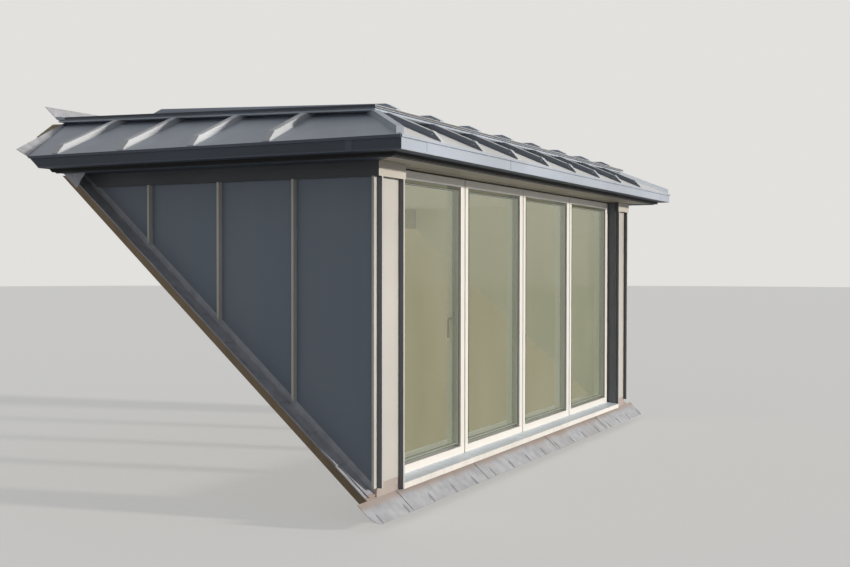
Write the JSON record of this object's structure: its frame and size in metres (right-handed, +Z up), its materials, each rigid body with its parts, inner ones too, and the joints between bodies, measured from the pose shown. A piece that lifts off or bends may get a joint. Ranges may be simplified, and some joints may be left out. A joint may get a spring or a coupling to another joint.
{
  "type": "dormer window",
  "caption": "Wide flat-topped dormer window: zinc-clad cheeks, boxed eaves with a sloping zinc skirt and batten rolls, a row of casements and lead flashings.",
  "frame": {"origin": "centre of the sloping sole face of the beam under the windows, in the plane of the rafters' tops", "axes": "+X to the right along the window row seen from outside, +Y into the house, +Z up"},
  "size_m": [4.4024, 2.5539, 2.0443],
  "materials": {
    "zinc_cheek": "matt pre-weathered zinc sheet on the cheeks and pilasters",
    "zinc_eaves": "matt folded zinc of fascias and soffits",
    "zinc_roof": "matt rolled zinc of the skirt and the top roof",
    "zinc_sill": "folded zinc sill, lightly streaked",
    "timber": "sawn softwood and plywood behind the cladding",
    "plasterboard": "painted gypsum board",
    "painted_board": "satin white painted window board",
    "sash_coat": "satin pale greige coated aluminium",
    "painted_wood": "satin pale painted window joinery",
    "window_glass": "sealed double glazing with a faint green tint",
    "handle_metal": "dark grey satin lever",
    "lead": "dull grey lead with a brown stain along its folds"
  },
  "bodies": {
    "root": {"back_flashing": "lead", "ceiling_lining": "plasterboard", "cheek_soakers": "lead", "frieze_bands": "zinc_cheek", "front_eaves_box": "timber", "front_fascia": "zinc_eaves", "front_lintel": "timber", "front_skirt": "zinc_roof", "front_soffit": "zinc_eaves", "front_upstand": "timber", "hip_rolls": "zinc_roof", "lead_apron": "lead", "left_cheek_cladding": "zinc_cheek", "left_cheek_lining": "plasterboard", "left_cheek_wall": "timber", "left_corner_post": "timber", "left_eaves_box": "timber", "left_fascia": "zinc_eaves", "left_pilaster": "zinc_cheek", "left_skirt": "zinc_roof", "left_soffit": "zinc_eaves", "rear_trimmer": "timber", "right_cheek_cladding": "zinc_cheek", "right_cheek_lining": "plasterboard", "right_cheek_wall": "timber", "right_corner_post": "timber", "right_eaves_box": "timber", "right_fascia": "zinc_eaves", "right_pilaster": "zinc_cheek", "right_skirt": "zinc_roof", "right_soffit": "zinc_eaves", "roof_deck": "timber", "sash_1": "sash_coat", "sash_2": "sash_coat", "sash_3": "sash_coat", "sash_4": "sash_coat", "skirt_rolls": "zinc_roof", "top_roof": "zinc_roof", "top_roof_rolls": "zinc_roof", "valley_flashings": "lead", "window_board": "painted_board", "window_bottom_rail": "painted_wood", "window_glass": "window_glass", "window_handle": "handle_metal", "window_head": "painted_wood", "window_posts": "painted_wood", "window_sill": "zinc_sill"}
  },
  "joints": []
}
